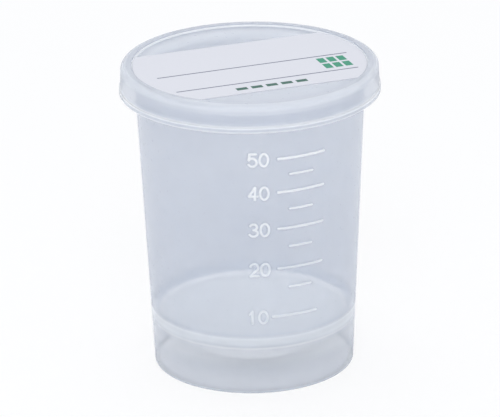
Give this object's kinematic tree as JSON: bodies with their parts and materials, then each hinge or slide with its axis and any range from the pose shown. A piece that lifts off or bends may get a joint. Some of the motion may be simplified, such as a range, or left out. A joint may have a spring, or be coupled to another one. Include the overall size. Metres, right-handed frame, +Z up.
{
  "type": "lidded medicine cup",
  "caption": "Small tapered translucent cup with a raised millilitre scale and a round bottom held up inside its skirt, closed by a shallow push-on lid with a writing label.",
  "frame": {"origin": "middle of the ring that the cup stands on, at the level of the table", "axes": "+Z up along the cup's axis, the scale's side faces -Y"},
  "size_m": [0.05, 0.05, 0.0604],
  "materials": {
    "cup_polypropylene": "natural polypropylene, injection moulded, milky and translucent with a soft gloss",
    "lid_polypropylene": "natural polypropylene, injection moulded, milky and translucent with a soft gloss",
    "label_film": "white matt writing film with two ruled lines"
  },
  "bodies": {
    "cup": {"cup": "cup_polypropylene"},
    "lid": {"lid": "lid_polypropylene", "label": "label_film"}
  },
  "joints": [
    {"name": "lid_lift", "type": "slide", "parent": "cup", "child": "lid", "axis": [0, 0, 1], "range_m": [0, 0.05]}
  ]
}
